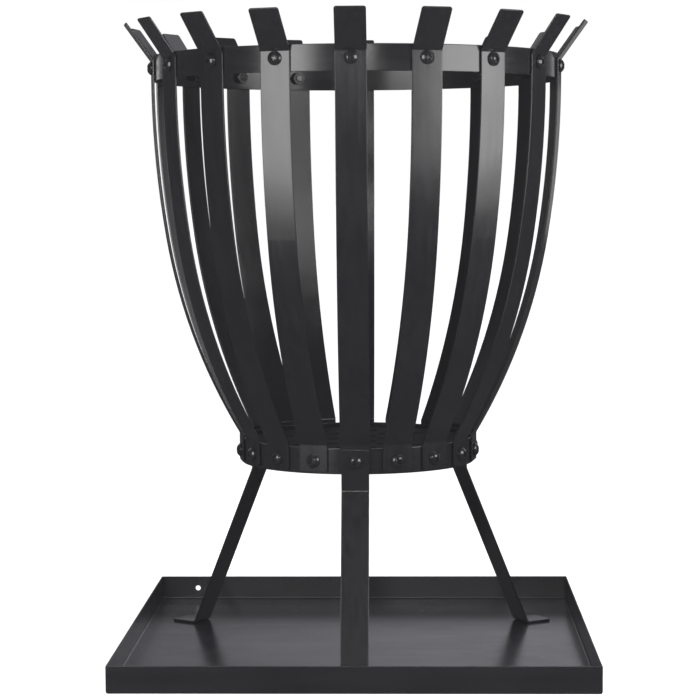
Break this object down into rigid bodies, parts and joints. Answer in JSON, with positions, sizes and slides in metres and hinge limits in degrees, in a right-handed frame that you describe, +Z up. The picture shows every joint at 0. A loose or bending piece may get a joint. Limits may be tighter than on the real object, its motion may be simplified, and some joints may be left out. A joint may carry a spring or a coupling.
{
  "type": "fire pit",
  "caption": "Open steel garden fire basket of bent flat slats on two hoops, with splayed legs, a loose fire grate and a square ash tray.",
  "frame": {"origin": "centre of the ash tray's underside, on the surface it stands on; the basket's axis rises from the same point", "axes": "+Z up along the basket's axis, -Y towards the front, where the single front leg stands, +X to the right seen from the front"},
  "size_m": [0.385, 0.3874, 0.5254],
  "materials": {
    "frame_steel": "black semi-gloss heat-resistant paint on flat steel bar",
    "fastener_steel": "black glossy screws and nuts",
    "grate_steel": "black satin paint on a perforated steel disc",
    "tray_steel": "black semi-gloss paint on folded sheet steel"
  },
  "bodies": {
    "tray": {"ash_tray": "tray_steel"},
    "basket": {"upper_hoop": "frame_steel", "lower_hoop": "frame_steel", "slat_01": "frame_steel", "slat_02": "frame_steel", "slat_03": "frame_steel", "slat_04": "frame_steel", "slat_05": "frame_steel", "slat_06": "frame_steel", "slat_07": "frame_steel", "slat_08": "frame_steel", "slat_09": "frame_steel", "slat_10": "frame_steel", "slat_11": "frame_steel", "slat_12": "frame_steel", "slat_13": "frame_steel", "slat_14": "frame_steel", "slat_15": "frame_steel", "slat_16": "frame_steel", "slat_17": "frame_steel", "slat_18": "frame_steel", "leg_front": "frame_steel", "leg_rear_right": "frame_steel", "leg_rear_left": "frame_steel", "upper_screws": "fastener_steel", "upper_nuts": "fastener_steel", "lower_screws": "fastener_steel", "lower_nuts": "fastener_steel", "leg_screws": "fastener_steel"},
    "grate": {"fire_grate": "grate_steel"}
  },
  "joints": [
    {"name": "basket_lift", "type": "slide", "parent": "tray", "child": "basket", "axis": [0, 0, 1], "range_m": [0, 0.12]},
    {"name": "grate_lift", "type": "slide", "parent": "basket", "child": "grate", "axis": [0, 0, 1], "range_m": [0, 0.38]}
  ]
}
